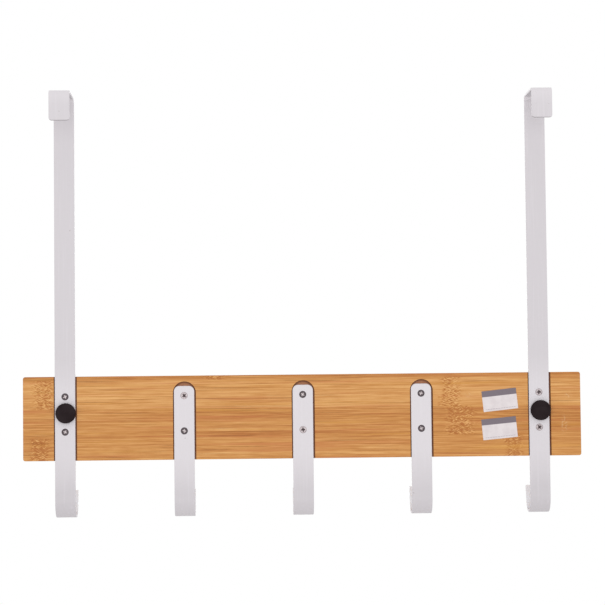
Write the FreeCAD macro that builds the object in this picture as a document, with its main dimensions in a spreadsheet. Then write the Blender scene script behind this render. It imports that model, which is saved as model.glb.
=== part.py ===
import FreeCAD, Part
import math
import os
import Sketcher
from FreeCAD import Placement, Rotation, Vector

# Over-door coat rack: a bamboo board carried by two flat steel straps that bend over
# the top of a door. Each strap ends in a J hook below the board, and three short hooks
# of the same strip stand between them.
# The origin lies on the door's top edge, midway between the two straps.
# +Z is up, +Y is the side of the door and -Y the side of the room.

SIZES = {
    "board_length": 500.0,
    "board_height": 75.0,
    "board_thickness": 12.0,
    "board_corner_radius": 2.0,
    "board_edge_chamfer": 0.6,
    "board_drop": 249.0,
    "strip_width": 18.2,
    "strip_thickness": 2.0,
    "strip_edge_chamfer": 0.3,
    "lip_corner_radius": 2.5,
    "plate_corner_radius": 4.8,
    "strap_inset": 37.5,
    "door_gap": 45.0,
    "door_bend_radius": 2.5,
    "lip_height": 27.0,
    "hook_drop": 51.0,
    "hook_depth": 29.0,
    "hook_flare": 14.0,
    "tip_height": 23.5,
    "channel_clearance": 1.2,
    "channel_offset": 0.3,
    "slot_top_drop": 5.2,
    "plate_top_drop": 9.2,
    "screw_drop": 17.9,
    "screw_pitch": 31.5,
    "head_width": 6.4,
    "shank_width": 3.2,
    "screw_length": 10.5,
    "point_length": 3.0,
    "screw_turn": 37.0,
    "hole_clearance": 0.2,
    "pilot_clearance": 0.1,
    "pilot_end_gap": 0.4,
    "cross_width": 0.9,
    "cross_span": 3.8,
    "cross_depth": 1.3,
    "cross_taper": 10.0,
    "bumper_width": 18.0,
    "bumper_height": 3.0,
    "left_bumper_offset": 1.2,
    "left_bumper_rise": -0.5,
    "right_bumper_offset": 0.6,
    "right_bumper_rise": 1.0,
    "label_length": 31.2,
    "label_height": 18.6,
    "label_thickness": 0.15,
    "upper_label_inset": 35.4,
    "lower_label_inset": 36.0,
    "upper_label_drop": 24.6,
    "lower_label_drop": 50.0,
    "upper_label_tilt": 6.0,
    "lower_label_tilt": 5.3,
}

# The places along the board, counted in hook pitches from its middle. Left and right are
# as seen from the room.
STRAP_PLACES = {"left_over_door_strap": -2, "right_over_door_strap": 2}
HOOK_PLACES = {"left_hook": -1, "middle_hook": 0, "right_hook": 1}
PLACES = {**STRAP_PLACES, **HOOK_PLACES}
BUMPERS = {"left_bumper": "left_over_door_strap", "right_bumper": "right_over_door_strap"}

# How far an outline that opens an edge is drawn past that edge.
OVERRUN = 5.0
COUNTERSINK_ANGLE = 90.0
QUARTER_TURN = 90.0
TOLERANCE = 1e-4

# Distances below the door's top edge, on the way down the strip.
BOARD_TOP = "Sizes.board_drop"
BOARD_BOTTOM = "(Sizes.board_drop + Sizes.board_height)"
UPPER_SCREW = "(Sizes.board_drop + Sizes.screw_drop)"
LOWER_SCREW = "(Sizes.board_drop + Sizes.screw_drop + Sizes.screw_pitch)"
PLATE_TOP = "(Sizes.board_drop + Sizes.plate_top_drop)"
SLOT_TOP = "(Sizes.board_drop + Sizes.slot_top_drop)"
HOOK_BOTTOM = "(Sizes.board_drop + Sizes.board_height + Sizes.hook_drop)"
CHANNEL_WIDTH = "(Sizes.strip_width + 2 * Sizes.channel_clearance)"

# The five strips are evenly spaced between the two straps.
PITCHES = max(PLACES.values()) - min(PLACES.values())
HOOK_PITCH = f"((Sizes.board_length - 2 * Sizes.strap_inset) / {PITCHES})"

doc = FreeCAD.newDocument("over_door_coat_rack")
sheet = doc.addObject("Spreadsheet::Sheet", "Sizes")
for row, (word, size) in enumerate(SIZES.items(), start=1):
    sheet.set(f"A{row}", word)
    sheet.set(f"B{row}", str(size))
    sheet.setAlias(f"B{row}", word)
doc.recompute()


def value(formula):
    """The number that a formula of the sheet's sizes gives now."""
    result = sheet.evalExpression(formula)
    return float(getattr(result, "Value", result))


def new_body(name):
    body = doc.addObject("PartDesign::Body", name)
    body.Label = name
    return body


def new_sketch(body, name, role):
    sketch = body.newObject("Sketcher::SketchObject", name)
    plane = next(item for item in body.Origin.OriginFeatures if item.Role == role)
    sketch.AttachmentSupport = [(plane, "")]
    sketch.MapMode = "FlatFace"
    return sketch


def constrain(sketch, kind, *ends):
    sketch.addConstraint(Sketcher.Constraint(kind, *ends))


def dimension(sketch, formula, kind, *ends):
    """A driven size of the sketch, bound to the sheet."""
    index = sketch.addConstraint(Sketcher.Constraint(kind, *ends, value(formula)))
    sketch.setExpression(f"Constraints[{index}]", formula)


def feature(body, kind, name, **settings):
    """A feature of the body, with plain settings and sizes bound to the sheet."""
    made = body.newObject(f"PartDesign::{kind}", name)
    for key, setting in settings.items():
        if isinstance(setting, str) and "Sizes." in setting:
            made.setExpression(key, setting)
        else:
            setattr(made, key, setting)
    return made


def line(sketch, x_start, y_start, x_end, y_end):
    return sketch.addGeometry(Part.LineSegment(Vector(x_start, y_start), Vector(x_end, y_end)))


def arc(sketch, x, y, radius, first_angle, last_angle):
    circle = Part.Circle(Vector(x, y), Vector(0, 0, 1), radius)
    ends = math.radians(first_angle), math.radians(last_angle)
    return sketch.addGeometry(Part.ArcOfCircle(circle, *ends))


def rectangle(sketch, length, height, x="0", below="0"):
    """A rectangle, centred on the sketch's origin or placed from it by formulas."""
    long_half = value(length) / 2
    high_half = value(height) / 2
    middle = Vector(value(x), -value(below))
    low, high = middle.y - high_half, middle.y + high_half
    first, last = middle.x - long_half, middle.x + long_half
    bottom = line(sketch, first, low, last, low)
    right = line(sketch, last, low, last, high)
    top = line(sketch, last, high, first, high)
    left = line(sketch, first, high, first, low)
    for before, after in ((bottom, right), (right, top), (top, left), (left, bottom)):
        constrain(sketch, "Coincident", before, 2, after, 1)
    for level in (bottom, top):
        constrain(sketch, "Horizontal", level)
    for upright in (right, left):
        constrain(sketch, "Vertical", upright)
    dimension(sketch, length, "DistanceX", bottom, 1, bottom, 2)
    dimension(sketch, height, "DistanceY", right, 1, right, 2)
    dimension(sketch, f"{x} - {length} / 2", "DistanceX", -1, 1, bottom, 1)
    dimension(sketch, f"{below} + {height} / 2", "DistanceY", bottom, 1, -1, 1)


def circle_below(sketch, radius, below):
    """A circle on the sketch's upright axis, a distance below its origin."""
    centre = Vector(0, -value(below))
    ring = sketch.addGeometry(Part.Circle(centre, Vector(0, 0, 1), value(radius)))
    constrain(sketch, "PointOnObject", ring, 3, -2)
    dimension(sketch, radius, "Radius", ring)
    dimension(sketch, below, "DistanceY", ring, 3, -1, 1)


def edges_where(shape, test):
    return [f"Edge{i}" for i, edge in enumerate(shape.Edges, start=1) if test(edge)]


def near(first, second):
    return abs(first - second) < TOLERANCE


def across(edge, thickness):
    """True for an edge that only crosses the material's thickness."""
    return near(edge.Length, thickness) and near(edge.BoundBox.XLength, 0)


def require_cut(before, after, name):
    if after.Volume >= before.Volume - TOLERANCE:
        raise RuntimeError(f"{name} cuts nothing")


# The bent strips

def add_hook_end(sketch, run):
    """The J: almost half a turn towards the room, then a short tip that leans outwards."""
    half = value("Sizes.strip_thickness / 2")
    radius = value("Sizes.hook_depth / 2 - Sizes.strip_thickness / 2")
    bow_level = -value(f"{HOOK_BOTTOM} - Sizes.hook_depth / 2")
    flare = value("Sizes.hook_flare")
    bow = arc(sketch, -half - radius, bow_level, radius, 180 + flare, 360)
    lean = math.radians(flare)
    foot = Vector(-half - radius * (1 + math.cos(lean)), bow_level - radius * math.sin(lean))
    tip_level = -value(f"{HOOK_BOTTOM} - Sizes.tip_height")
    tip_place = foot.x - (tip_level - foot.y) * math.tan(lean)
    tip = line(sketch, foot.x, foot.y, tip_place, tip_level)
    constrain(sketch, "Tangent", run, 2, bow, 2)
    constrain(sketch, "Tangent", bow, 1, tip, 1)
    slope = sketch.addConstraint(Sketcher.Constraint("Angle", tip, math.pi / 2 + lean))
    sketch.setExpression(f"Constraints[{slope}]", "90 deg + Sizes.hook_flare * 1 deg")
    dimension(sketch, "Sizes.hook_depth / 2 - Sizes.strip_thickness / 2", "Radius", bow)
    dimension(sketch, f"{HOOK_BOTTOM} - Sizes.hook_depth / 2", "DistanceY", bow, 3, -1, 1)
    dimension(sketch, f"{HOOK_BOTTOM} - Sizes.tip_height", "DistanceY", tip, 2, -1, 1)


def over_door_path(sketch):
    """The strap's middle line: lip, two bends over the door, long run and J."""
    half = value("Sizes.strip_thickness / 2")
    inside = value("Sizes.door_bend_radius")
    gap = value("Sizes.door_gap")
    lip_end = value("Sizes.strip_thickness - Sizes.lip_height")
    bow_level = -value(f"{HOOK_BOTTOM} - Sizes.hook_depth / 2")
    lip = line(sketch, gap + half, lip_end, gap + half, -inside)
    far_bend = arc(sketch, gap - inside, -inside, inside + half, 0, 90)
    crown = line(sketch, gap - inside, half, inside, half)
    near_bend = arc(sketch, inside, -inside, inside + half, 90, 180)
    run = line(sketch, -half, -inside, -half, bow_level)
    for before, after in ((lip, far_bend), (far_bend, crown), (crown, near_bend), (near_bend, run)):
        constrain(sketch, "Tangent", before, 2, after, 1)
    constrain(sketch, "Horizontal", crown)
    for upright in (lip, run):
        constrain(sketch, "Vertical", upright)
    for bend in (far_bend, near_bend):
        dimension(sketch, "Sizes.door_bend_radius + Sizes.strip_thickness / 2", "Radius", bend)
    dimension(sketch, "Sizes.door_gap + Sizes.strip_thickness / 2", "DistanceX", -1, 1, lip, 1)
    dimension(sketch, "Sizes.lip_height - Sizes.strip_thickness", "DistanceY", lip, 1, -1, 1)
    dimension(sketch, "Sizes.strip_thickness / 2", "DistanceY", -1, 1, crown, 1)
    dimension(sketch, "Sizes.strip_thickness / 2", "DistanceX", run, 1, -1, 1)
    add_hook_end(sketch, run)


def short_path(sketch):
    """The short hook's middle line: its screwed plate, then the J."""
    half = value("Sizes.strip_thickness / 2")
    bow_level = -value(f"{HOOK_BOTTOM} - Sizes.hook_depth / 2")
    run = line(sketch, -half, -value(PLATE_TOP), -half, bow_level)
    constrain(sketch, "Vertical", run)
    dimension(sketch, "Sizes.strip_thickness / 2", "DistanceX", run, 1, -1, 1)
    dimension(sketch, PLATE_TOP, "DistanceY", run, 1, -1, 1)
    add_hook_end(sketch, run)


def bent_strip(name, place, draw_path, start_y, start_drop, start_radius):
    """A flat strip swept along its middle line, rounded and drilled for two screws."""
    body = new_body(name)
    path = new_sketch(body, f"{name}_path", "YZ_Plane")
    draw_path(path)
    section = new_sketch(body, f"{name}_section", "XY_Plane")
    section.setExpression("AttachmentOffset.Base.y", start_y)
    section.setExpression("AttachmentOffset.Base.z", f"-({start_drop})")
    rectangle(section, "Sizes.strip_width", "Sizes.strip_thickness")
    doc.recompute()
    sweep = feature(body, "AdditivePipe", f"{name}_sweep", Profile=section, Spine=path)
    doc.recompute()
    swept = section.Shape.BoundBox.XLength * section.Shape.BoundBox.YLength * path.Shape.Length
    if abs(sweep.Shape.Volume / swept - 1) > TOLERANCE:
        raise RuntimeError(f"{name} isn't swept whole")

    thickness = value("Sizes.strip_thickness")
    level = -value(start_drop)
    corners = edges_where(sweep.Shape, lambda edge: across(edge, thickness)
                          and near(edge.BoundBox.Center.z, level))
    rounded = feature(body, "Fillet", f"{name}_corners", Base=(sweep, corners), Radius=start_radius)
    doc.recompute()

    width = value("Sizes.strip_width")
    rims = edges_where(rounded.Shape, lambda edge: not across(edge, thickness)
                       and not near(edge.BoundBox.XLength, width))
    softened = feature(body, "Chamfer", f"{name}_rims", Base=(rounded, rims),
                       Size="Sizes.strip_edge_chamfer")
    doc.recompute()

    places = new_sketch(body, f"{name}_hole_places", "XZ_Plane")
    for below in (UPPER_SCREW, LOWER_SCREW):
        circle_below(places, "Sizes.shank_width / 2", below)
    doc.recompute()
    holes = feature(body, "Hole", f"{name}_holes", Profile=places, Reversed=True)
    holes.DepthType = "ThroughAll"
    holes.HoleCutType = "Countersink"
    holes.HoleCutCountersinkAngle = COUNTERSINK_ANGLE
    holes.setExpression("Diameter", "Sizes.shank_width + Sizes.hole_clearance")
    holes.setExpression("HoleCutDiameter", "Sizes.head_width")
    doc.recompute()
    require_cut(softened.Shape, holes.Shape, f"{name}_holes")
    body.setExpression("Placement.Base.x", f"{place} * {HOOK_PITCH}")
    return body


# The board

def bamboo_board():
    """A rounded board with a channel for each strap and a slot for each short hook."""
    body = new_body("bamboo_board")
    outline = new_sketch(body, "board_outline", "XZ_Plane")
    rectangle(outline, "Sizes.board_length", "Sizes.board_height",
              below=f"({BOARD_TOP} + Sizes.board_height / 2)")
    doc.recompute()
    slab = feature(body, "Pad", "board_slab", Profile=outline, Length="Sizes.board_thickness")
    doc.recompute()
    thickness = value("Sizes.board_thickness")
    corners = edges_where(slab.Shape, lambda edge: across(edge, thickness))
    rounded = feature(body, "Fillet", "board_corners", Base=(slab, corners),
                      Radius="Sizes.board_corner_radius")
    doc.recompute()
    rims = edges_where(rounded.Shape, lambda edge: not across(edge, thickness))
    softened = feature(body, "Chamfer", "board_rims", Base=(rounded, rims),
                       Size="Sizes.board_edge_chamfer")
    doc.recompute()

    channels = new_sketch(body, "channel_outlines", "XZ_Plane")
    for place in STRAP_PLACES.values():
        rectangle(channels, CHANNEL_WIDTH, f"(Sizes.board_height + {2 * OVERRUN})",
                  channel_middle(place), f"({BOARD_TOP} + Sizes.board_height / 2)")
    doc.recompute()
    routed = feature(body, "Pocket", "strap_channels", Profile=channels, Reversed=True,
                     Length="Sizes.strip_thickness")
    doc.recompute()
    require_cut(softened.Shape, routed.Shape, "strap_channels")

    slot = new_sketch(body, "slot_outline", "XZ_Plane")
    slot_outline(slot, min(HOOK_PLACES.values()))
    doc.recompute()
    first_slot = feature(body, "Pocket", "first_hook_slot", Profile=slot, Reversed=True,
                         Length="Sizes.strip_thickness")
    doc.recompute()
    require_cut(routed.Shape, first_slot.Shape, "first_hook_slot")
    slots = repeat_along(body, "hook_slots", first_slot, slot, len(HOOK_PLACES))

    pilots = new_sketch(body, "pilot_outlines", "XZ_Plane")
    for below in (UPPER_SCREW, LOWER_SCREW):
        pilot_outline(pilots, min(PLACES.values()), below)
    doc.recompute()
    first_pilots = feature(body, "Pocket", "first_pilot_holes", Profile=pilots, Reversed=True,
                           Length="Sizes.screw_length + Sizes.pilot_end_gap")
    doc.recompute()
    require_cut(slots.Shape, first_pilots.Shape, "first_pilot_holes")
    repeat_along(body, "pilot_holes", first_pilots, pilots, len(PLACES))
    return body


def channel_middle(place):
    """Each strip lies a little towards the right end in its wider channel."""
    return f"({place} * {HOOK_PITCH} - Sizes.channel_offset)"


def slot_outline(sketch, place):
    """A slot that is open at the board's lower edge and round at its top."""
    middle = value(channel_middle(place))
    radius = value(f"{CHANNEL_WIDTH} / 2")
    shoulder = -value(f"{SLOT_TOP} + {CHANNEL_WIDTH} / 2")
    bottom_level = -value(f"{BOARD_BOTTOM} + {OVERRUN}")
    bottom = line(sketch, middle - radius, bottom_level, middle + radius, bottom_level)
    right = line(sketch, middle + radius, bottom_level, middle + radius, shoulder)
    crown = arc(sketch, middle, shoulder, radius, 0, 180)
    left = line(sketch, middle - radius, shoulder, middle - radius, bottom_level)
    constrain(sketch, "Coincident", bottom, 2, right, 1)
    constrain(sketch, "Tangent", right, 2, crown, 1)
    constrain(sketch, "Tangent", crown, 2, left, 1)
    constrain(sketch, "Coincident", left, 2, bottom, 1)
    constrain(sketch, "Horizontal", bottom)
    constrain(sketch, "Vertical", right)
    constrain(sketch, "Vertical", left)
    dimension(sketch, f"{CHANNEL_WIDTH} / 2", "Radius", crown)
    dimension(sketch, f"-{channel_middle(place)}", "DistanceX", crown, 3, -1, 1)
    dimension(sketch, f"{SLOT_TOP} + {CHANNEL_WIDTH} / 2", "DistanceY", crown, 3, -1, 1)
    dimension(sketch, f"{BOARD_BOTTOM} + {OVERRUN}", "DistanceY", bottom, 1, -1, 1)


def pilot_outline(sketch, place, below):
    """The hole that a screw's shank bites into, just wider than the shank."""
    radius = "(Sizes.shank_width + Sizes.pilot_clearance) / 2"
    centre = Vector(value(f"{place} * {HOOK_PITCH}"), -value(below))
    ring = sketch.addGeometry(Part.Circle(centre, Vector(0, 0, 1), value(radius)))
    dimension(sketch, radius, "Radius", ring)
    dimension(sketch, f"-({place}) * {HOOK_PITCH}", "DistanceX", ring, 3, -1, 1)
    dimension(sketch, below, "DistanceY", ring, 3, -1, 1)


def repeat_along(body, name, original, sketch, count):
    """The same cut again at each hook pitch, towards the board's right end."""
    pattern = feature(body, "LinearPattern", name, Originals=[original],
                      Direction=(sketch, ["H_Axis"]), Occurrences=count,
                      Length=f"{count - 1} * {HOOK_PITCH}")
    body.Tip = pattern
    doc.recompute()
    require_cut(original.Shape, pattern.Shape, name)
    return pattern


# The screws

def wood_screw():
    """A countersunk screw with a cross recess: its head's face is at Z = 0."""
    body = new_body("one_screw")
    profile = new_sketch(body, "screw_profile", "XZ_Plane")
    head = value("Sizes.head_width / 2")
    shank = value("Sizes.shank_width / 2")
    cone = value("(Sizes.head_width - Sizes.shank_width) / 2")
    length = value("Sizes.screw_length")
    shoulder = value("Sizes.screw_length - Sizes.point_length")
    corners = ((0, 0), (head, 0), (shank, -cone), (shank, -shoulder), (0, -length))
    sides = [line(profile, *start, *end) for start, end in zip(corners, corners[1:] + corners[:1])]
    for before, after in zip(sides, sides[1:] + sides[:1]):
        constrain(profile, "Coincident", before, 2, after, 1)
    face, seat, side, point, axis = sides
    constrain(profile, "Coincident", face, 1, -1, 1)
    constrain(profile, "Horizontal", face)
    constrain(profile, "Vertical", side)
    constrain(profile, "Vertical", axis)
    dimension(profile, "Sizes.head_width / 2", "DistanceX", -1, 1, face, 2)
    dimension(profile, "Sizes.shank_width / 2", "DistanceX", -1, 1, side, 1)
    dimension(profile, "(Sizes.head_width - Sizes.shank_width) / 2", "DistanceY", side, 1, -1, 1)
    dimension(profile, "Sizes.screw_length - Sizes.point_length", "DistanceY", side, 2, -1, 1)
    dimension(profile, "Sizes.screw_length", "DistanceY", point, 2, -1, 1)
    doc.recompute()
    turned = feature(body, "Revolution", "screw_turning", Profile=profile,
                     ReferenceAxis=(profile, ["V_Axis"]))
    doc.recompute()

    outline = new_sketch(body, "cross_outline", "XY_Plane")
    rectangle(outline, "Sizes.cross_span", "Sizes.cross_width")
    doc.recompute()
    wing = feature(body, "Pocket", "cross_wing", Profile=outline, Length="Sizes.cross_depth",
                   TaperAngle="-Sizes.cross_taper * 1 deg")
    doc.recompute()
    require_cut(turned.Shape, wing.Shape, "cross_wing")
    cross = feature(body, "PolarPattern", "cross_recess", Originals=[wing],
                    Axis=(outline, ["N_Axis"]), Angle=QUARTER_TURN, Occurrences=2)
    body.Tip = cross
    doc.recompute()
    require_cut(wing.Shape, cross.Shape, "cross_recess")
    return body


def all_screws(screw):
    """Two screws in each strip, each left at the angle where it came tight."""
    facing_door = Rotation(Vector(1, 0, 0), -QUARTER_TURN)
    solids = []
    for place in sorted(PLACES.values()):
        for below in (UPPER_SCREW, LOWER_SCREW):
            turn = Rotation(Vector(0, 0, 1), len(solids) * value("Sizes.screw_turn"))
            spot = Vector(value(f"{place} * {HOOK_PITCH}"), 0, -value(below))
            solid = screw.Shape.copy()
            solid.Placement = Placement(spot, facing_door * turn)
            solids.append(solid)
    group = doc.addObject("Part::Feature", "wood_screws")
    group.Label = "wood_screws"
    group.Shape = Part.makeCompound(solids)
    return group


# The bumpers and the labels

def bumper(name, place):
    """A round rubber pad, stuck by hand on the strap about midway between its screws."""
    body = new_body(name)
    outline = new_sketch(body, f"{name}_outline", "XZ_Plane")
    circle_below(outline, "Sizes.bumper_width / 2",
                 f"{UPPER_SCREW} + Sizes.screw_pitch / 2 - Sizes.{name}_rise")
    doc.recompute()
    feature(body, "Pad", f"{name}_disc", Profile=outline, Reversed=True,
            Length="Sizes.bumper_height")
    doc.recompute()
    body.setExpression("Placement.Base.x", f"{place} * {HOOK_PITCH} - Sizes.{name}_offset")
    return body


def paper_label(name, inset, below, tilt):
    """A blank paper sticker on the board's back, a little askew."""
    body = new_body(name)
    outline = new_sketch(body, f"{name}_outline", "XZ_Plane")
    rectangle(outline, "Sizes.label_length", "Sizes.label_height")
    doc.recompute()
    feature(body, "Pad", f"{name}_sheet", Profile=outline, Reversed=True,
            Length="Sizes.label_thickness")
    doc.recompute()
    body.Placement = Placement(Vector(0, 0, 0), Rotation(Vector(0, 1, 0), value(tilt)))
    place = STRAP_PLACES["left_over_door_strap"]
    body.setExpression("Placement.Rotation.Angle", f"{tilt} * 1 deg")
    body.setExpression("Placement.Base.x", f"{place} * {HOOK_PITCH} + {inset}")
    body.setExpression("Placement.Base.z", f"-({below})")
    return body


nodes = [bamboo_board()]
for name, place in STRAP_PLACES.items():
    nodes.append(bent_strip(name, place, over_door_path, "Sizes.door_gap + Sizes.strip_thickness / 2",
                            "Sizes.lip_height - Sizes.strip_thickness", "Sizes.lip_corner_radius"))
for name, place in HOOK_PLACES.items():
    nodes.append(bent_strip(name, place, short_path, "-Sizes.strip_thickness / 2",
                            PLATE_TOP, "Sizes.plate_corner_radius"))
nodes.append(all_screws(wood_screw()))
for name, strap in BUMPERS.items():
    nodes.append(bumper(name, STRAP_PLACES[strap]))
for name in ("upper_label", "lower_label"):
    nodes.append(paper_label(name, f"Sizes.{name}_inset", f"{BOARD_TOP} + Sizes.{name}_drop",
                             f"Sizes.{name}_tilt"))
doc.recompute()

for item in doc.Objects:
    if any(word in item.State for word in ("Invalid", "Error")):
        raise RuntimeError(f"{item.Name} failed: {item.State}")
for node in nodes:
    if node.Shape.isNull() or not node.Shape.isValid():
        raise RuntimeError(f"{node.Label} has no valid shape")

os.makedirs("parts", exist_ok=True)
for node in nodes:
    node.Shape.exportStep(f"parts/{node.Label}.step")
    box = node.Shape.BoundBox
    print(f"{node.Label}: {len(node.Shape.Solids)} solid(s), {node.Shape.Volume:.0f} mm3, "
          f"{box.XLength:.1f} x {box.YLength:.1f} x {box.ZLength:.1f} mm")
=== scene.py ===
import math

import bpy
from mathutils import Matrix, Vector


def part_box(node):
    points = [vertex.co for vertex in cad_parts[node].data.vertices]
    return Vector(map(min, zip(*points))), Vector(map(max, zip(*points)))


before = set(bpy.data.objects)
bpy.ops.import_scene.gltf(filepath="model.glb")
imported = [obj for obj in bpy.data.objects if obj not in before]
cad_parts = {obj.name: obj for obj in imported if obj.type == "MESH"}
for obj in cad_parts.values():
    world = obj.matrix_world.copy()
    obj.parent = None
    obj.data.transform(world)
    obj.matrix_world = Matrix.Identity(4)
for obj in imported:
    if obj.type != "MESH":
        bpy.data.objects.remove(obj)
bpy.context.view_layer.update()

# Over-door coat rack, seen from its back: the side that lies against the door.
# Metres; +Z is up, +Y the side of the door and -Y the side of the room.
# Noise is given in cells to the metre, along X, Y and Z where they differ. A pair named an
# edge is where a mask starts and where it is full.


# Shader maths

class Value:
    """A number, colour or vector in a shader, with Python's own operators."""

    def __init__(self, shader, socket):
        self.shader = shader
        self.socket = socket

    def maths(self, operation, *others):
        return self.shader.maths(operation, self, *others)

    def __add__(self, other):
        return self.maths("ADD", other)

    def __sub__(self, other):
        return self.maths("SUBTRACT", other)

    def __rsub__(self, other):
        return self.shader.maths("SUBTRACT", other, self)

    def __mul__(self, other):
        return self.maths("MULTIPLY", other)

    def __truediv__(self, other):
        return self.maths("DIVIDE", other)

    def __rtruediv__(self, other):
        return self.shader.maths("DIVIDE", other, self)

    def __pow__(self, other):
        return self.maths("POWER", other)

    def __rpow__(self, other):
        return self.shader.maths("POWER", other, self)

    __radd__ = __add__
    __rmul__ = __mul__

    def floor(self):
        return self.maths("FLOOR")

    def fraction(self):
        return self.maths("FRACT")

    def size(self):
        return self.maths("ABSOLUTE")

    def larger(self, other):
        return self.maths("MAXIMUM", other)

    def over(self, edge):
        """1 where the value is above the edge, else 0."""
        return self.maths("GREATER_THAN", edge)

    def ramp(self, low, high):
        """0 below low and 1 above high, with a smooth slope between."""
        settings = dict(interpolation_type="SMOOTHSTEP")
        return self.shader.node("ShaderNodeMapRange", settings, [self, low, high, 0.0, 1.0])

    def bump(self, centre, reach):
        """1 at the centre, falling smoothly to 0 at the reach on either side."""
        return 1 - ((self - centre).size() / reach).ramp(0.0, 1.0)


# The sockets of a Mix node that mixes colours; its others have the same names.
MIX_SHARE = 0
MIX_FIRST = 6
MIX_SECOND = 7


class Shader:
    """The nodes of one material, or of the world."""

    def __init__(self, owner, output="ShaderNodeOutputMaterial"):
        owner.use_nodes = True
        self.owner = owner
        self.tree = owner.node_tree
        self.tree.nodes.clear()
        self.output = self.tree.nodes.new(output)

    def node(self, kind, settings=None, values=(), output=0):
        """A node of a kind: its settings are set first, then its sockets' values or links."""
        made = self.tree.nodes.new(kind)
        for key, setting in (settings or {}).items():
            if key == "stops":
                self.set_stops(made.color_ramp, setting)
            else:
                setattr(made, key, setting)
        pairs = values.items() if isinstance(values, dict) else enumerate(values)
        for key, value in pairs:
            self.feed(made.inputs[key], value)
        return Value(self, made.outputs[output])

    def feed(self, socket, value):
        if isinstance(value, Value):
            self.tree.links.new(value.socket, socket)
        else:
            socket.default_value = value

    def set_stops(self, ramp, stops):
        while len(ramp.elements) < len(stops):
            ramp.elements.new(0.5)
        for element, (place, colour) in zip(ramp.elements, stops):
            element.position = place
            element.color = rgba(colour)

    def maths(self, operation, *values):
        return self.node("ShaderNodeMath", dict(operation=operation), values)

    def place(self):
        """The point on the object, in metres."""
        return self.node("ShaderNodeTexCoord", output="Object")

    def parts(self, vector):
        split = self.node("ShaderNodeSeparateXYZ", values=[vector]).socket.node
        return [Value(self, socket) for socket in split.outputs]

    def vector(self, x, y, z):
        return self.node("ShaderNodeCombineXYZ", values=[x, y, z])

    def stretch(self, vector, scale):
        return self.node("ShaderNodeVectorMath", dict(operation="MULTIPLY"), [vector, scale])

    def moved(self, vector, *shift):
        settings = dict(operation="ADD")
        return self.node("ShaderNodeVectorMath", settings, [vector, self.vector(*shift)])

    def noise(self, vector, scale=1.0, detail=2.0, roughness=0.5):
        """Soft noise about 0, mostly between -0.3 and 0.3."""
        values = {"Vector": vector, "Scale": scale, "Detail": detail, "Roughness": roughness}
        return self.node("ShaderNodeTexNoise", values=values) - 0.5

    def random(self, value):
        """A steady random number from 0 to 1 for each whole number."""
        return self.node("ShaderNodeTexWhiteNoise", dict(noise_dimensions="1D"), {"W": value})

    def mix(self, share, first, second):
        values = {MIX_SHARE: share, MIX_FIRST: rgba(first), MIX_SECOND: rgba(second)}
        return self.node("ShaderNodeMix", dict(data_type="RGBA"), values, output=2)

    def mix_shaders(self, share, first, second):
        return self.node("ShaderNodeMixShader", values=[share, first, second])

    def colours(self, value, stops):
        return self.node("ShaderNodeValToRGB", dict(stops=stops), [value])

    def relief(self, depth, distance):
        """A normal from a height: distance, in metres, is what a depth of 1 stands for."""
        return self.node("ShaderNodeBump", values={"Height": depth, "Distance": distance})

    def surface(self, **sockets):
        values = {name.replace("_", " "): value for name, value in sockets.items()}
        self.finish(self.node("ShaderNodeBsdfPrincipled", values=values))
        return self.owner

    def finish(self, value):
        self.feed(self.output.inputs["Surface"], value)


def new_shader(name):
    return Shader(bpy.data.materials.new(name))


def rgba(colour):
    return colour if isinstance(colour, Value) else (*colour, 1.0)


def srgb(red, green, blue):
    """A colour as it is seen, 0 to 255, as the linear light that a shader takes."""
    def linear(level):
        level = level / 255
        return level / 12.92 if level <= 0.04045 else ((level + 0.055) / 1.055) ** 2.4
    return linear(red), linear(green), linear(blue)


def middle_of(node):
    low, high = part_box(node)
    return (low + high) / 2


# The five strips stand at even steps along the board, the straps at its ends.
STRIP_PITCH = (middle_of("right_over_door_strap").x - middle_of("left_over_door_strap").x) / 4
BOARD_LOW, BOARD_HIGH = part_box("bamboo_board")


def strip_number(along):
    """The nearest strip, counted from 0 in the middle of the board towards +X."""
    return (along / STRIP_PITCH + 0.5).floor()


# Bamboo

BAMBOO_STOPS = ((0.1, srgb(180, 110, 48)), (0.5, srgb(209, 146, 78)), (0.9, srgb(233, 178, 112)))
BAMBOO_LINE = srgb(132, 74, 30)
BAMBOO_RED = srgb(198, 118, 66)
BAMBOO_GOLD = srgb(214, 152, 66)

# The glued strips lie one above the other; the first is planed down to a sliver. The joints
# wander a little along the board.
GLUED_HEIGHT = 0.0258
SLIVER_HEIGHT = 0.0036
WANDER_CELLS = (9.0, 1.0, 9.0)
WANDER_REACH = 0.0012

# Each glued strip, and each face of the board, takes its grain from another part of the noise.
ROW_SEED = 7.3
FRONT_SEED = 31.7
SEED_ALONG = 0.37
SEED_UP = 0.11

# How pale each strip is on the back, from the upper edge down; 0.5 is the mean. The tone
# changes over the joint.
ROW_TONES = (0.32, 0.60, 0.42, 0.45)
JOINT_HALF = 0.04
# Darker lines in the strips, counted from the upper edge: their place, reach and strength.
DARK_LINES = ((2.12, 0.16, 0.07), (2.9, 0.2, 0.05))
# The lowest strip grows paler towards the board's lower edge.
PALE_EDGE = (3.3, 3.8)
PALE_EDGE_STRENGTH = 0.07
# On the front a strip's tone is random, between the lowest and that plus the spread.
FRONT_LOWEST = 0.42
FRONT_SPREAD = 0.18

# The grain, many times longer than it is thick, from broad bands down to hairs: the cells,
# the roughness of the noise, and how strongly it moves the tone.
GRAIN = {
    "broad": ((2.5, 60.0, 90.0), 0.5, 0.45),
    "band": ((4.0, 200.0, 260.0), 0.6, 0.6),
    "streak": ((6.0, 420.0, 560.0), 0.65, 0.8),
    "short": ((60.0, 560.0, 760.0), 0.6, 0.6),
    "hair": ((14.0, 1000.0, 1250.0), 0.7, 1.5),
}
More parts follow.
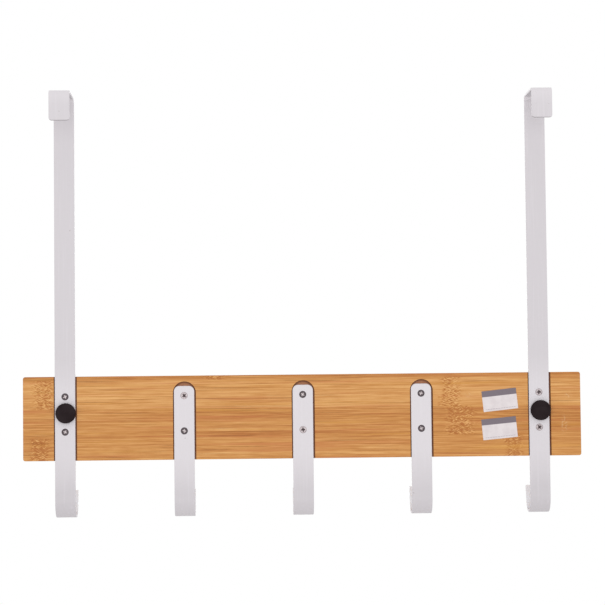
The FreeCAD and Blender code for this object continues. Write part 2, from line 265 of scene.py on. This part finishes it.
# One strip is of coarser bamboo: how strong its broad layers are, and those of the others.
COARSE_ROW = 2
COARSE_EDGE = (0.65, 0.35)
COARSE_STRENGTH = 1.3
PLAIN_STRENGTH = 0.5
HUE_CELLS = (5.0, 180.0, 260.0)
RED_EDGE = (0.03, 0.2)
RED_STRENGTH = 0.6
GOLD_EDGE = (0.06, 0.22)
GOLD_STRENGTH = 0.5
VESSEL_CELLS = (12.0, 500.0, 860.0)
VESSEL_EDGE = (0.12, 0.2)
VESSEL_STRENGTH = 0.42

# Each glued strip's knuckles, from the board's upper edge down: how far along the board
# they lie, from its middle, and how far they reach to either side.
KNUCKLES_BACK = (((0.078, 0.014),), ((-0.133, 0.014), (0.231, 0.016)), ((-0.141, 0.019),),
                 ((-0.189, 0.012), (0.235, 0.014)))
KNUCKLES_FRONT = (((-0.12, 0.014),), ((0.04, 0.015),), ((-0.215, 0.012), (0.16, 0.016)),
                  ((0.09, 0.014),))
# The knuckles' borders are ragged, and the fibres waver in them.
RAGGED_CELLS = (70.0, 210.0)
RAGGED_REACH = 0.016
KNUCKLE_EDGE = (0.0, 0.85)
WAVER_CELLS = (240.0, 1.0, 260.0)
WAVER_REACH = 0.0055
# The strokes across them: cells, the slants of the rising and the falling ones, the patches
# in which they change over, and how strongly they move the tone.
STROKE_CELLS = (210.0, 600.0, 1180.0)
STROKE_SLANTS = (0.42, -0.38)
STROKE_PATCH_CELLS = (260.0, 260.0, 330.0)
STROKE_PATCH_EDGE = (-0.06, 0.06)
STROKE_STRENGTH = 4.1
# How dark a knuckle is: less in the coarse strip, a little more in the lowest.
KNUCKLE_SHADE = 0.17
COARSE_PALER = 0.12
COARSE_REACH = 0.6
LOWEST_DARKER = 0.04
LOWEST_EDGE = (2.9, 3.1)

# Pale rubbed spots on the back: place along, height, reach along, reach up.
SCUFFS = ((-0.2385, -0.2700, 0.006, 0.003), (-0.2350, -0.2960, 0.004, 0.011),
          (-0.1490, -0.2690, 0.005, 0.003))
SCUFF_CELLS = (500.0, 500.0, 700.0)
SCUFF_EDGE = (-0.02, 0.12)
SCUFF_STRENGTH = 0.55
RUBBED = srgb(232, 196, 150)

# The strips' channels and slots: half their width, how far their middle lies to the left
# of the strip's, their depth, and how far below the board's upper edge the slots end. The
# slots are cut for the middle strips, the channels for the outer two.
CHANNEL_HALF = 0.0103
CHANNEL_OFFSET = 0.0003
CHANNEL_DEPTH = 0.002
SLOT_TOP_DROP = 0.0052
LAST_SLOT = 1.5
# Bare wood lies between these shares of the depth, and out to this share of the half width.
ROUTED_DEPTHS = (-0.15, -1.1)
ROUTED_RIM = 1.02
ROUTED = srgb(172, 116, 84)
# Darker at the walls: scorch from the cutter, and painted shadow where the rim shades the floor.
SCORCH_AND_SHADOW = srgb(108, 52, 20)
SCORCH_SHADOW_CELLS = (60.0, 900.0)
SCORCH_SHADOW_RAGGED = 0.15
SCORCH_SHADOW_EDGE = (0.72, 0.98)
ROUTED_STRENGTH = 0.92

# The lacquer over the grain.
LACQUER_ROUGHNESS = 0.44
LACQUER_VARIES = 0.3
LACQUER_SHINE = 0.3
GRAIN_DEPTH = 0.0003
STREAK_RELIEF = 0.6
BAND_RELIEF = 0.3
VESSEL_RELIEF = 0.3


def bamboo():
    """Bamboo strips glued edge to edge: long fibres, dark vessels and crinkled knuckles."""
    shader = new_shader("bamboo")
    place = shader.place()
    along, depth, height = shader.parts(place)
    drop = BOARD_HIGH.z - height
    front = 1 - depth.over((BOARD_LOW.y + BOARD_HIGH.y) / 2)
    wander = shader.noise(shader.stretch(place, WANDER_CELLS), detail=1.0) * WANDER_REACH
    row = (drop + wander - SLIVER_HEIGHT) / GLUED_HEIGHT + 1.0
    seed = row.floor() * ROW_SEED + front * FRONT_SEED

    knuckle = knuckle_patches(shader, along, drop, front)
    straight = shader.moved(place, seed * SEED_ALONG, 0.0, seed * SEED_UP)
    waver = shader.noise(shader.stretch(place, WAVER_CELLS), detail=1.0) * knuckle
    fibre = shader.moved(straight, 0.0, 0.0, waver * WAVER_REACH)
    layers, shares = grain_layers(shader, fibre)
    stroke = crossed_strokes(shader, place, straight)
    vessel = shader.noise(shader.stretch(fibre, VESSEL_CELLS), detail=1.0).ramp(*VESSEL_EDGE)

    tone = row_tone(shader, row, front, seed)
    tone = tone + (shares["broad"] + shares["band"]) * coarseness(row)
    tone = tone + shares["streak"] + shares["short"] + shares["hair"]
    tone = tone + (stroke * STROKE_STRENGTH - knuckle_shade(row)) * knuckle
    colour = tinted_fibres(shader, fibre, shader.colours(tone, BAMBOO_STOPS))
    colour = shader.mix(vessel * VESSEL_STRENGTH, colour, BAMBOO_LINE)
    colour = shader.mix(scuff_marks(shader, place), colour, RUBBED)
    colour = routed_floors(shader, along, depth, drop, colour)

    relief = layers["streak"] * STREAK_RELIEF + layers["band"] * BAND_RELIEF
    relief = relief + stroke * knuckle - vessel * VESSEL_RELIEF
    return shader.surface(Base_Color=colour,
                          Roughness=LACQUER_ROUGHNESS + layers["streak"] * LACQUER_VARIES,
                          Specular_IOR_Level=LACQUER_SHINE,
                          Normal=shader.relief(relief, GRAIN_DEPTH))


def grain_layers(shader, fibre):
    """Each layer of the grain by its name: the noise, and its share in the tone."""
    layers = {}
    shares = {}
    for name, (cells, roughness, strength) in GRAIN.items():
        layers[name] = shader.noise(shader.stretch(fibre, cells), roughness=roughness)
        shares[name] = layers[name] * strength
    return layers, shares


def coarseness(row):
    """How strong the broad layers of the grain are in each glued strip."""
    inside = (row - COARSE_ROW - 0.5).size().ramp(*COARSE_EDGE)
    return PLAIN_STRENGTH + inside * (COARSE_STRENGTH - PLAIN_STRENGTH)


def crossed_strokes(shader, place, straight):
    """Short strokes across a knuckle, here rising along the board and there falling."""
    along, depth, height = shader.parts(straight)
    cells_along, cells_deep, cells_up = STROKE_CELLS
    strokes = []
    for slant in STROKE_SLANTS:
        turned = shader.vector(along * cells_along, depth * cells_deep,
                               (height + along * slant) * cells_up)
        strokes.append(shader.noise(turned, detail=1.0))
    patches = shader.noise(shader.stretch(place, STROKE_PATCH_CELLS), detail=0.0)
    share = patches.ramp(*STROKE_PATCH_EDGE)
    rising, falling = strokes
    return rising * share + falling * (1 - share)


def row_tone(shader, row, front, seed):
    """How pale each glued strip is."""
    back = ROW_TONES[0]
    for number in range(1, len(ROW_TONES)):
        step = ROW_TONES[number] - ROW_TONES[number - 1]
        back = back + row.ramp(number - JOINT_HALF, number + JOINT_HALF) * step
    back = back + row.ramp(*PALE_EDGE) * PALE_EDGE_STRENGTH
    for line, reach, strength in DARK_LINES:
        back = back - row.bump(line, reach) * strength
    return front * (FRONT_LOWEST + shader.random(seed) * FRONT_SPREAD) + (1 - front) * back


def knuckle_shade(row):
    """How much darker than its strip each knuckle is."""
    shade = KNUCKLE_SHADE - row.bump(COARSE_ROW + 0.5, COARSE_REACH) * COARSE_PALER
    return shade + row.ramp(*LOWEST_EDGE) * LOWEST_DARKER


def knuckle_patches(shader, along, drop, front):
    """1 in the crinkled patch at each knuckle, fading out at its ragged border."""
    cells_along, cells_up = RAGGED_CELLS
    ragged = shader.noise(shader.vector(along * cells_along, 0.0, drop * cells_up)) * RAGGED_REACH
    patches = []
    for side, rows in ((1 - front, KNUCKLES_BACK), (front, KNUCKLES_FRONT)):
        for row, knuckles in enumerate(rows):
            top = SLIVER_HEIGHT + (row - 1) * GLUED_HEIGHT
            inside = drop.over(top) * (1 - drop.over(top + GLUED_HEIGHT)) * side
            patches += [(along + ragged).bump(*knuckle) * inside for knuckle in knuckles]
    return sum(patches).ramp(*KNUCKLE_EDGE)


def tinted_fibres(shader, fibre, colour):
    """Some fibres redder than the rest, some more golden."""
    hue = shader.noise(shader.stretch(fibre, HUE_CELLS))
    colour = shader.mix(hue.ramp(*RED_EDGE) * RED_STRENGTH, colour, BAMBOO_RED)
    return shader.mix((0 - hue).ramp(*GOLD_EDGE) * GOLD_STRENGTH, colour, BAMBOO_GOLD)


def scuff_marks(shader, place):
    """Pale spots where the lacquer was rubbed."""
    along, _, height = shader.parts(place)
    marks = sum(along.bump(x, reach_x) * height.bump(z, reach_z)
                for x, z, reach_x, reach_z in SCUFFS)
    broken = shader.noise(shader.stretch(place, SCUFF_CELLS)).ramp(*SCUFF_EDGE)
    return marks * broken * SCUFF_STRENGTH


def routed_floors(shader, along, depth, drop, colour):
    """Bare wood on the floors of the channels and slots, darker at the walls: scorch from the
    cutter, and painted shadow.
    """
    number = strip_number(along)
    beside = along - number * STRIP_PITCH + CHANNEL_OFFSET
    above = (SLOT_TOP_DROP + CHANNEL_HALF - drop).larger(0.0)
    above = above * (1 - number.size().over(LAST_SLOT))
    reach = (beside * beside + above * above) ** 0.5 / CHANNEL_HALF
    shallow, deep = (share * CHANNEL_DEPTH for share in ROUTED_DEPTHS)
    floor = (1 - reach.over(ROUTED_RIM)) * ((1 - depth.over(shallow)) * depth.over(deep))
    cells_along, cells_up = SCORCH_SHADOW_CELLS
    ragged = shader.noise(shader.vector(along * cells_along, 0.0, drop * cells_up))
    # Scorch and painted shadow, darkest at the walls.
    scorch_and_shadow = (reach + ragged * SCORCH_SHADOW_RAGGED).ramp(*SCORCH_SHADOW_EDGE)
    bare = shader.mix(scorch_and_shadow, ROUTED, SCORCH_AND_SHADOW)
    return shader.mix(floor * ROUTED_STRENGTH, colour, bare)


# White powder coating on the bent strips

# How pale the coating is, from the hooks' lowest point up to the door's top edge: the share
# of that height, and the level from 0 to 255. Its changes along the height are painted shade and
# light: darker on the low bows, brighter at the top bend. The short hooks are painted paler, as
# painted light, for the brighter light in the middle of the rack.
COATING_SHADE_LEVELS = ((0.0, 206), (0.06, 207), (0.10, 215), (0.15, 221), (0.31, 222), (0.38, 214),
                  (0.85, 215), (0.97, 218), (1.0, 226))
HOOKS_PAINTED_LIGHT = 3
# The coating's red, green and blue stand this far from its level.
COATING_CAST = (0, -5, -1)
# The front of a hook counts as higher up, so that it doesn't take the painted shade of the bow's
# back.
HOOK_FRONT_EDGE = (0.014, 0.026)
HOOK_FRONT_RISE = 0.12
CLOUD_CELLS = 22.0
CLOUD_RISE = 0.04
COATING_ROUGHNESS = 0.42
COATING_VARIES = 0.1
COATING_SHINE = 0.4
PEEL_CELLS = 1400.0
PEEL_DEPTH = 0.00002

# Pale lines along the strip: a painted sheen.
SHEEN_LINE_CELLS = (620.0, 620.0, 16.0)
SHEEN_LINE_EDGE = (0.0, 0.3)
SHEEN_LINE_STRENGTH = 0.15
PAINTED_SHEEN = srgb(240, 234, 240)

# Specks of dirt, and small dark marks on the door side: place along and height, how far
# they reach in both, and the depth that they stay in front of.
SPECK_CELLS = 330.0
SPECK_EDGE = (0.30, 0.33)
MARKS = ((0.1056, -0.3050), (-0.0985, -0.3560), (0.2075, -0.1180))
MARK_REACH = (0.0006, 0.0009)
MARK_DEPTH = -0.008
DIRT_STRENGTH = 0.6
GRIME = srgb(120, 104, 96)

# The tips' inner faces get painted light: where they lie behind the strip, and how far they face
# the door.
INNER_DEPTH_EDGE = (0.016, 0.026)
INNER_TURN_EDGE = (0.1, 0.7)
INNER_FACE_PAINTED_LIGHT = srgb(244, 246, 251)

# Painted shade on what faces down: the runs that lie on the door above the seats' height, and
# the ends of the lips, beyond the lips' depth.
DOWN_EDGE = (0.3, 0.7)
SEAT_HEIGHT = -0.012
SEAT_EDGE = (0.0, 0.009)
SEAT_SHADE_STRENGTH = 0.75
SEAT_PAINTED_SHADE = srgb(182, 178, 182)
LIP_DEPTH = 0.03
LIP_END_PAINTED_SHADE = srgb(150, 144, 148)


def coating_colour(level):
    return srgb(*(level + cast for cast in COATING_CAST))


def white_coating(name, painted_light=0):
    """Smooth white powder coating with faint orange peel and a little dirt, with painted light and
    shade.
    """
    shader = new_shader(name)
    place = shader.place()
    cloud = shader.noise(place, CLOUD_CELLS)
    peel = shader.noise(place, PEEL_CELLS)
    colour = coating_tone_and_painted_light(shader, place, cloud, painted_light)
    colour = shader.mix(dirt(shader, place) * DIRT_STRENGTH, colour, GRIME)
    colour = painted_light_and_shade(shader, place, colour)
    return shader.surface(Base_Color=colour, Roughness=COATING_ROUGHNESS + cloud * COATING_VARIES,
                          Specular_IOR_Level=COATING_SHINE, Normal=shader.relief(peel, PEEL_DEPTH))


def coating_tone_and_painted_light(shader, place, cloud, painted_light):
    """How pale the coating is up the strip, with painted shade and light along it and painted
    sheen lines on it.
    """
    _, depth, height = shader.parts(place)
    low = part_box("left_over_door_strap")[0].z
    # The levels paint shade low on the bows and light at the top bend.
    stops = [(share, coating_colour(level + painted_light)) for share, level in COATING_SHADE_LEVELS]
    share = (height - low) / -low + (0 - depth).ramp(*HOOK_FRONT_EDGE) * HOOK_FRONT_RISE
    colour = shader.colours(share + cloud * CLOUD_RISE, stops)
    # Pale lines of painted sheen along the strip.
    sheen_lines = shader.noise(shader.stretch(place, SHEEN_LINE_CELLS), detail=1.0).ramp(*SHEEN_LINE_EDGE)
    return shader.mix(sheen_lines * SHEEN_LINE_STRENGTH, colour, PAINTED_SHEEN)


def dirt(shader, place):
    """1 on specks of dirt and on the small marks, else 0."""
    along, depth, height = shader.parts(place)
    reach_x, reach_z = MARK_REACH
    specks = shader.noise(place, SPECK_CELLS, detail=1.0).ramp(*SPECK_EDGE)
    marks = sum(along.bump(x, reach_x) * height.bump(z, reach_z) for x, z in MARKS)
    return (specks + marks * depth.over(MARK_DEPTH)).ramp(0.0, 1.0)


def painted_light_and_shade(shader, place, colour):
    """Painted light on the tips' inner faces; painted shade under the top runs and on the lips'
    ends.
    """
    _, depth, height = shader.parts(place)
    _, outward, upward = shader.parts(shader.node("ShaderNodeNewGeometry", output="Normal"))
    # Painted light on the tips' inner faces, where the strip shades them.
    inner = (0 - depth).ramp(*INNER_DEPTH_EDGE) * outward.ramp(*INNER_TURN_EDGE)
    colour = shader.mix(inner, colour, INNER_FACE_PAINTED_LIGHT)
    # Painted shade under the top runs and on the lips' ends.
    underside = (0 - upward).ramp(*DOWN_EDGE)
    at_seat = height.over(SEAT_HEIGHT)
    seat_shade = underside * depth.ramp(*SEAT_EDGE) * at_seat
    colour = shader.mix(seat_shade * SEAT_SHADE_STRENGTH, colour, SEAT_PAINTED_SHADE)
    lip_end = underside * depth.over(LIP_DEPTH) * (1 - at_seat)
    return shader.mix(lip_end, colour, LIP_END_PAINTED_SHADE)


# Zinc on the screws

HEAD_RADIUS = 0.0032
# How high the upper and the lower screws stand.
UPPER_SCREW = -0.2669
LOWER_SCREW = -0.2984
# Screws with a ring of painted shade round the head, counted as twice the strip's number plus 1
# for the lower.
SHADE_RINGED_SCREWS = (5, 4, 3, 0, -1, -2)
ZINC_BRIGHT = srgb(188, 178, 179)
ZINC_DULL = srgb(140, 130, 132)
ZINC_PAINTED_SHADE = srgb(74, 67, 70)
ZINC_CELLS = 700.0
ZINC_EDGE = (-0.15, 0.15)
ZINC_ROUGHNESS = 0.34
ZINC_VARIES = 0.3
ZINC_DEPTH = 0.00004

# The cross recess is what lies deeper than this. On a pale head it is painted dark as shade,
# with painted shade round it; on a ringed head it is painted bright, a painted highlight.
RECESS_DEPTH = -0.00006
RECESS_SHADE = srgb(58, 44, 46)
RECESS_SHINE = srgb(198, 190, 191)
RECESS_SHADE_RAGGED = 0.5
RECESS_SHADE_EDGE = (0.12, 0.66)
RECESS_SHADE_STRENGTH = 0.7
SHADE_STRENGTH = 0.95
# The painted shade of a ringed head's dark ring, and of every head's dark rim, in shares of the
# radius.
RING_RAGGED = 0.9
RING_EDGE = (0.03, 0.58)
RECESS_SPARED = 0.9
RIM_EDGE = (0.8, 0.97)
RIM_STRENGTH = 0.6


def zinc():
    """Zinc plating with painted shade: some heads pale with a dark cross, some with a dark ring
    round a pale middle.
    """
    shader = new_shader("zinc")
    place = shader.place()
    along, depth, height = shader.parts(place)
    number = strip_number(along)
    lower = 1 - height.over((UPPER_SCREW + LOWER_SCREW) / 2)
    level = UPPER_SCREW + lower * (LOWER_SCREW - UPPER_SCREW)
    x = along - number * STRIP_PITCH
    z = height - level
    reach = (x * x + z * z) ** 0.5 / HEAD_RADIUS
    count = number * 2 + lower
    # Heads that get a ring of painted shade.
    shade_ringed = sum(count.maths("COMPARE", screw, 0.5) for screw in SHADE_RINGED_SCREWS)
    scuff = shader.noise(place, ZINC_CELLS, detail=3.0)
    recess = 1 - depth.over(RECESS_DEPTH)

    colour = shader.mix(scuff.ramp(*ZINC_EDGE), ZINC_DULL, ZINC_BRIGHT)
    # Painted shade in and round the cross recess of a pale head.
    unshaded = (reach + scuff * RECESS_SHADE_RAGGED).ramp(*RECESS_SHADE_EDGE)
    recess_shade_mask = recess.larger((1 - unshaded) * RECESS_SHADE_STRENGTH)
    colour = shader.mix(recess_shade_mask * (1 - shade_ringed) * SHADE_STRENGTH, colour, RECESS_SHADE)
    # A painted highlight in the recess of a ringed head.
    colour = shader.mix(recess * shade_ringed, colour, RECESS_SHINE)
    # Painted shade: the ring of a ringed head, and the dark rim of every head.
    shade_ring = (reach + scuff * RING_RAGGED).ramp(*RING_EDGE) * shade_ringed * (1 - recess * RECESS_SPARED)
    rim = reach.ramp(*RIM_EDGE) * RIM_STRENGTH
    colour = shader.mix(shade_ring.larger(rim), colour, ZINC_PAINTED_SHADE)
    return shader.surface(Base_Color=colour, Metallic=1.0,
                          Roughness=ZINC_ROUGHNESS + scuff * ZINC_VARIES,
                          Normal=shader.relief(scuff, ZINC_DEPTH))


# Rubber of the bumpers

RUBBER_DARK = srgb(31, 21, 23)
RUBBER_DUSTY = srgb(45, 36, 38)
DUST_CELLS = 90.0
DUST_EDGE = (-0.25, 0.25)
RUBBER_CELLS = 1600.0
RUBBER_DEPTH = 0.00005
RUBBER_ROUGHNESS = 0.84
RUBBER_VARIES = 0.1
RUBBER_SHINE = 0.15


def black_rubber():
    """Matte rubber, finely grained, with a little dust."""
    shader = new_shader("black_rubber")
    place = shader.place()
    grain = shader.noise(place, RUBBER_CELLS, detail=3.0)
    dust = shader.noise(place, DUST_CELLS)
    colour = shader.mix(dust.ramp(*DUST_EDGE), RUBBER_DARK, RUBBER_DUSTY)
    return shader.surface(Base_Color=colour, Roughness=RUBBER_ROUGHNESS + dust * RUBBER_VARIES,
                          Specular_IOR_Level=RUBBER_SHINE,
                          Normal=shader.relief(grain, RUBBER_DEPTH))


# Paper stickers

LABEL_BAND = srgb(127, 117, 125)
LABEL_PAPER = srgb(233, 225, 226)
LABEL_STAIN = srgb(223, 214, 216)
LABEL_SIZE = Vector((0.0312, 0.0186))
LABEL_TILTS = {"upper_label": 6.0, "lower_label": 5.3}
# In shares of the label's height, up from its lower edge: where the band starts, how soft
# its border is, and the dashed line's place and half width.
BAND_START = 0.71
BAND_SOFT = 0.01
LINE_PLACE = 0.1
LINE_HALF = 0.02
# Where the line ends, in shares of the length from the middle, and its dashes.
LINE_END_EDGE = (0.42, 0.44)
DASHES_PER_METRE = 420.0
DASH_GAP = 0.18
LINE_STRENGTH = 0.6
STAIN_CELLS = 160.0
STAIN_EDGE = (-0.25, 0.25)
PULP_CELLS = 2600.0
PULP_DEPTH = 0.00002
PAPER_ROUGHNESS = 0.72
PAPER_VARIES = 0.1
PAPER_SHINE = 0.3


def paper(name):
    """A blank sticker: a plain band of colour along the top, and bare paper below."""
    shader = new_shader(name)
    low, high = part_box(name)
    middle = (low + high) / 2
    place = shader.place()
    along, _, height = shader.parts(place)
    tilt = math.radians(LABEL_TILTS[name])
    x = along - middle.x
    z = height - middle.z
    across = x * math.cos(tilt) - z * math.sin(tilt)
    share = (x * math.sin(tilt) + z * math.cos(tilt)) / LABEL_SIZE.y + 0.5

    pulp = shader.noise(place, PULP_CELLS, detail=3.0)
    stain = shader.noise(place, STAIN_CELLS).ramp(*STAIN_EDGE)
    colour = shader.mix(stain, LABEL_PAPER, LABEL_STAIN)
    band = share.ramp(BAND_START - BAND_SOFT, BAND_START + BAND_SOFT)
    past_end = (across.size() / LABEL_SIZE.x).ramp(*LINE_END_EDGE)
    line = share.bump(LINE_PLACE, LINE_HALF) * (1 - past_end)
    dashes = line * (across * DASHES_PER_METRE).fraction().over(DASH_GAP) * LINE_STRENGTH
    colour = shader.mix(band.larger(dashes), colour, LABEL_BAND)
    return shader.surface(Base_Color=colour, Roughness=PAPER_ROUGHNESS + pulp * PAPER_VARIES,
                          Specular_IOR_Level=PAPER_SHINE, Normal=shader.relief(pulp, PULP_DEPTH))


def dress(node, material):
    """Gives a node of the frame its finish."""
    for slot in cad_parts[node].material_slots:
        slot.material = material


def dress_all():
    dress("bamboo_board", bamboo())
    dress("wood_screws", zinc())
    for name in LABEL_TILTS:
        dress(name, paper(name))
    finishes = {
        "strap": white_coating("strap_coating_painted_light"),
        # The hooks' copy of the coating is painted paler: painted light.
        "hook": white_coating("hook_coating_painted_light", HOOKS_PAINTED_LIGHT),
        "bumper": black_rubber(),
    }
    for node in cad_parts:
        for ending, material in finishes.items():
            if node.endswith(ending):
                dress(node, material)


# The studio

WHITE = (1.0, 1.0, 1.0)

# The camera's place in metres and its turns in radians; its focal length in the pixels of a
# frame of this width.
CAMERA_PLACE = Vector((0.050078, 1.789143, -0.275620))
CAMERA_YAW = 0.028345
CAMERA_PITCH = 0.05092
CAMERA_ROLL = -0.01042
FOCAL_PIXELS = 1994.593
FRAME_PIXELS = 605
SENSOR_WIDTH = 36.0

# How bright the studio is round the object.
STUDIO_LIGHT = 0.87
# A soft box stands before the back and another before the front: their places, their side
# and their power in watts, and the point that they are turned to.
LAMP_PLACES = ((0.1, 2.4, -0.15), (-0.1, -2.4, -0.15))
LAMP_SIDE = 1.6
LAMP_POWER = 7.5
LAMP_AIM = Vector((0.0, 0.0, -0.25))

# The floor's drop below the door's top edge, its radius, and the shares of that over which
# it fades. It is seen in one colour and lights the object with another.
FLOOR_DROP = 0.62
FLOOR_REACH = 0.95
FLOOR_FADE_EDGE = (0.35, 0.98)
FLOOR_SIDES = 96
FLOOR_COLOUR = (0.86, 0.86, 0.86)
FLOOR_BOUNCE = (0.92, 0.92, 0.92)


def add_object(name, data):
    made = bpy.data.objects.new(name, data)
    bpy.context.collection.objects.link(made)
    return made


def add_camera():
    """The photo's view: from the door side, level with the board, looking a little up."""
    data = bpy.data.cameras.new("camera")
    data.sensor_fit = "HORIZONTAL"
    data.sensor_width = SENSOR_WIDTH
    data.lens = FOCAL_PIXELS / FRAME_PIXELS * SENSOR_WIDTH
    camera = add_object("camera", data)
    forward = Vector((-math.sin(CAMERA_YAW) * math.cos(CAMERA_PITCH),
                      -math.cos(CAMERA_YAW) * math.cos(CAMERA_PITCH), math.sin(CAMERA_PITCH)))
    level = forward.cross(Vector((0, 0, 1))).normalized()
    upright = level.cross(forward)
    right = math.cos(CAMERA_ROLL) * level + math.sin(CAMERA_ROLL) * upright
    up = math.cos(CAMERA_ROLL) * upright - math.sin(CAMERA_ROLL) * level
    axes = Matrix((right, up, -forward)).transposed().to_4x4()
    camera.matrix_world = Matrix.Translation(CAMERA_PLACE) @ axes
    bpy.context.scene.camera = camera


def add_lamp(name, place):
    data = bpy.data.lights.new(name, "AREA")
    data.shape = "SQUARE"
    data.size = LAMP_SIDE
    data.energy = LAMP_POWER
    lamp = add_object(name, data)
    lamp.location = place
    lamp.rotation_euler = (LAMP_AIM - Vector(place)).to_track_quat("-Z", "Y").to_euler()


def seen_directly(shader):
    """1 for what the camera sees straight on, in a mirror or through glass."""
    rays = shader.node("ShaderNodeLightPath").socket.node.outputs
    camera, glossy, clear = (Value(shader, rays[name]) for name in
                             ("Is Camera Ray", "Is Glossy Ray", "Is Transmission Ray"))
    return camera.larger(glossy).larger(clear)


def add_world():
    """White to the eye, and a soft even light on the object."""
    world = bpy.data.worlds.new("studio")
    bpy.context.scene.world = world
    shader = Shader(world, "ShaderNodeOutputWorld")
    seen = seen_directly(shader)
    strength = seen + (1 - seen) * STUDIO_LIGHT
    shader.finish(shader.node("ShaderNodeBackground", values=[rgba(WHITE), strength]))


def floor_finish():
    """Pale and matte, white at the rim, and clear from below."""
    shader = new_shader("floor")
    along, across, _ = shader.parts(shader.place())
    reach = (along * along + across * across) ** 0.5
    seen = seen_directly(shader)
    colour = shader.mix(seen, FLOOR_BOUNCE, FLOOR_COLOUR)
    matte = shader.node("ShaderNodeBsdfDiffuse", values=[colour])
    white = shader.node("ShaderNodeEmission", values=[rgba(WHITE), 1.0])
    fade = (reach / FLOOR_REACH).ramp(*FLOOR_FADE_EDGE) * seen
    below = shader.node("ShaderNodeNewGeometry", output="Backfacing")
    clear = shader.node("ShaderNodeBsdfTransparent")
    shader.finish(shader.mix_shaders(below, shader.mix_shaders(fade, matte, white), clear))
    return shader.owner


def add_floor():
    """A round floor under the object, one face with its finish."""
    turns = [2 * math.pi * side / FLOOR_SIDES for side in range(FLOOR_SIDES)]
    rim = [(FLOOR_REACH * math.cos(turn), FLOOR_REACH * math.sin(turn), -FLOOR_DROP)
           for turn in turns]
    mesh = bpy.data.meshes.new("floor")
    mesh.from_pydata(rim, [], [range(FLOOR_SIDES)])
    floor = add_object("floor", mesh)
    mesh.materials.append(floor_finish())


def light_studio():
    add_world()
    add_floor()
    for number, place in enumerate(LAMP_PLACES):
        add_lamp(f"soft_box_{number}", place)
    bpy.context.scene.view_settings.view_transform = "Standard"


dress_all()
add_camera()
light_studio()
